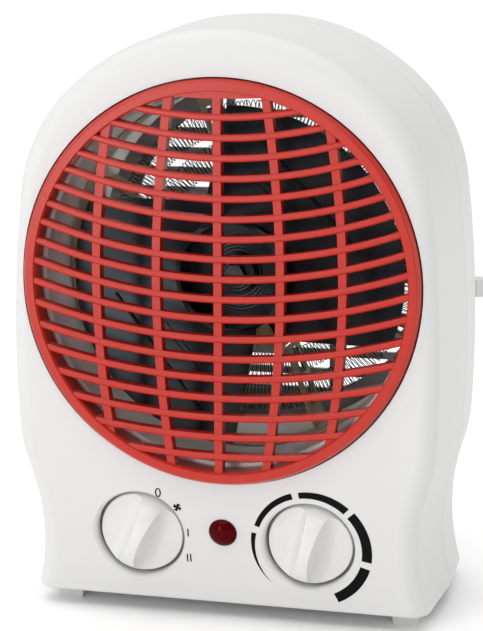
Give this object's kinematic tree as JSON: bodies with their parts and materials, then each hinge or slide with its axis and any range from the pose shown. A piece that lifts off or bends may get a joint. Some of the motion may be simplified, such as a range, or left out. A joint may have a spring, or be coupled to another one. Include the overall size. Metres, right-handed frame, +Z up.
{
  "type": "upright fan heater",
  "caption": "Upright electric fan heater: rounded two-shell housing, round curved-bar grille, spinning fan, zigzag wire heating ring, selector and thermostat knobs, pilot lamp.",
  "frame": {"origin": "on the floor, at the middle of the footprint box", "axes": "+Z up, the grille faces -Y, +X to the right seen from the front"},
  "size_m": [0.1934, 0.1177, 0.2624],
  "materials": {
    "housing_white": "smooth satin-gloss moulded plastic",
    "grille_red": "satin-gloss red moulded plastic",
    "knob_white": "fine satin moulded plastic",
    "lamp_red": "clear red, polished",
    "fan_dark": "polished dark plastic",
    "mica": "tan mica board",
    "heater_wire": "bare resistance wire",
    "sheet_metal": "plain zinc-plated sheet",
    "fixing_steel": "zinc-plated screws, nuts and shafts",
    "laminations": "stacked electrical steel",
    "coil_wrap": "yellow tape over the winding",
    "bearing_bronze": "sintered bronze",
    "switch_body": "black thermoset",
    "fuse_sleeve": "woven glass sleeve",
    "block_nylon": "natural nylon",
    "gland_rubber": "black rubber"
  },
  "bodies": {
    "heater": {"bracket_screws": "fixing_steel", "cord_gland": "gland_rubber", "duct_band": "mica", "duct_liner": "sheet_metal", "element_boards": "mica", "front_bearing_bridge": "sheet_metal", "front_feet": "housing_white", "front_grille": "grille_red", "front_shell": "housing_white", "inner_wire_ring": "heater_wire", "lamp_holder": "switch_body", "motor_bearings": "bearing_bronze", "motor_bracket": "sheet_metal", "motor_coil": "coil_wrap", "motor_screws": "fixing_steel", "motor_spacers": "sheet_metal", "motor_stator": "laminations", "outer_wire_ring": "heater_wire", "pilot_lens": "lamp_red", "rear_bearing_bridge": "sheet_metal", "rear_feet": "housing_white", "rear_shell": "housing_white", "selector_nut": "fixing_steel", "selector_switch": "switch_body", "shell_screws": "fixing_steel", "terminal_block": "block_nylon", "terminal_screws": "fixing_steel", "thermal_cutout": "sheet_metal", "thermal_fuse": "fuse_sleeve", "thermostat_body": "sheet_metal", "thermostat_nut": "fixing_steel"},
    "fan": {"fan_impeller": "fan_dark", "fan_shaft": "fixing_steel", "motor_rotor": "laminations", "fan_nut": "fixing_steel"},
    "selector": {"selector_knob": "knob_white", "selector_shaft": "fixing_steel"},
    "thermostat": {"thermostat_knob": "knob_white", "thermostat_shaft": "fixing_steel"}
  },
  "joints": [
    {"name": "fan_spin", "type": "hinge", "parent": "heater", "child": "fan", "pos_m": [0, 0.01225, 0.152], "axis": [0, 1, 0], "continuous": true},
    {"name": "selector_turn", "type": "hinge", "parent": "heater", "child": "selector", "pos_m": [-0.0382, -0.04893, 0.0375], "axis": [0, 0.9879, 0.1552], "range_deg": [0, 90]},
    {"name": "thermostat_turn", "type": "hinge", "parent": "heater", "child": "thermostat", "pos_m": [0.0382, -0.04893, 0.0375], "axis": [0, 0.9879, 0.1552], "range_deg": [-150, 135]}
  ]
}
